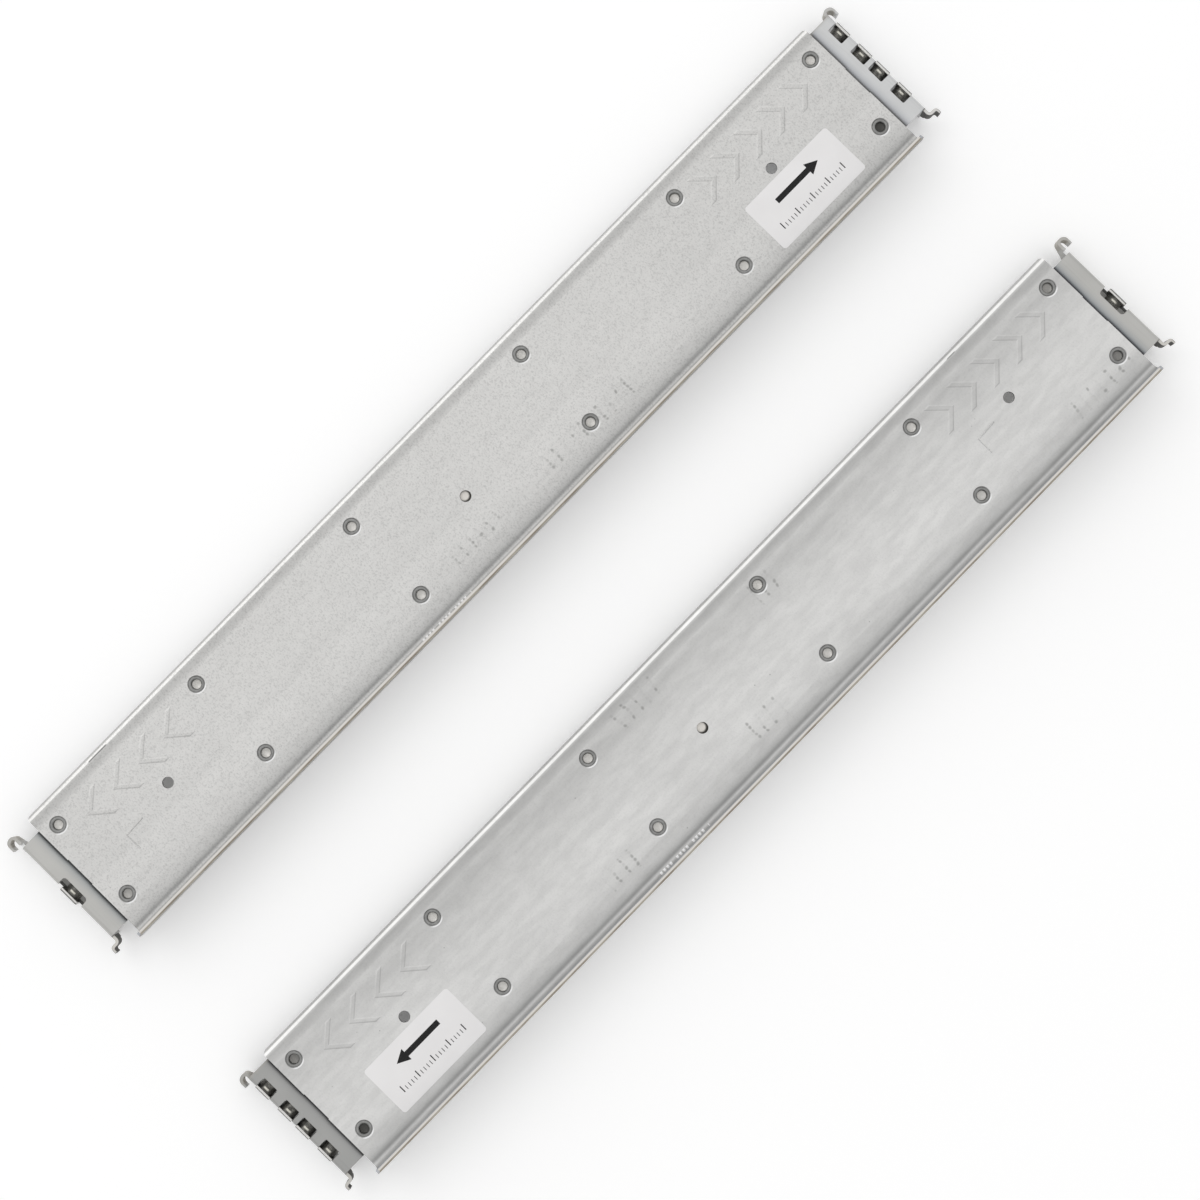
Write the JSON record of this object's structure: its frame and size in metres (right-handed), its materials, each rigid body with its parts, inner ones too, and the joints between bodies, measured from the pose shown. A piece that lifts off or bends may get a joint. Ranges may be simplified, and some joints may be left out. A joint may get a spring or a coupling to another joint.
{
  "type": "sliding server rail pair",
  "caption": "Pair of length-adjustable support rails for a server rack, with hooked end flanges, threaded bushes, sliding rear brackets and an equipment ledge.",
  "frame": {"origin": "bottom centre of the pair as it lies on its outer sides", "axes": "+X along the rails towards the front of the right-hand rail, +Y up once a rail stands in its rack, +Z out of the equipment faces"},
  "size_m": [0.6086, 0.254, 0.0325],
  "materials": {
    "panel_sheet": "dull hot-dip galvanised sheet with a fine spangle",
    "bracket_sheet": "smooth zinc-plated sheet",
    "rivet_steel": "zinc-plated, burnished where it was rolled",
    "nut_steel": "bright zinc-plated turned steel"
  },
  "bodies": {
    "rails": {"right_support_panel": "panel_sheet", "right_front_bracket": "bracket_sheet", "right_bracket_rivets": "rivet_steel", "right_front_nuts": "nut_steel", "right_upper_guide": "bracket_sheet", "right_lower_guide": "bracket_sheet", "right_upper_guide_rivets": "rivet_steel", "right_lower_guide_rivets": "rivet_steel", "left_support_panel": "panel_sheet", "left_front_bracket": "bracket_sheet", "left_bracket_rivets": "rivet_steel", "left_front_nuts": "nut_steel", "left_upper_guide": "bracket_sheet", "left_lower_guide": "bracket_sheet", "left_upper_guide_rivets": "rivet_steel", "left_lower_guide_rivets": "rivet_steel"},
    "right_slide": {"right_rear_slide": "bracket_sheet", "right_rear_nut": "nut_steel"},
    "left_slide": {"left_rear_slide": "bracket_sheet", "left_rear_nut": "nut_steel"}
  },
  "joints": [
    {"name": "right_length_slide", "type": "slide", "parent": "rails", "child": "right_slide", "axis": [-1, 0, 0], "range_m": [0, 0.32]},
    {"name": "left_length_slide", "type": "slide", "parent": "rails", "child": "left_slide", "axis": [1, 0, 0], "range_m": [0, 0.32]}
  ]
}
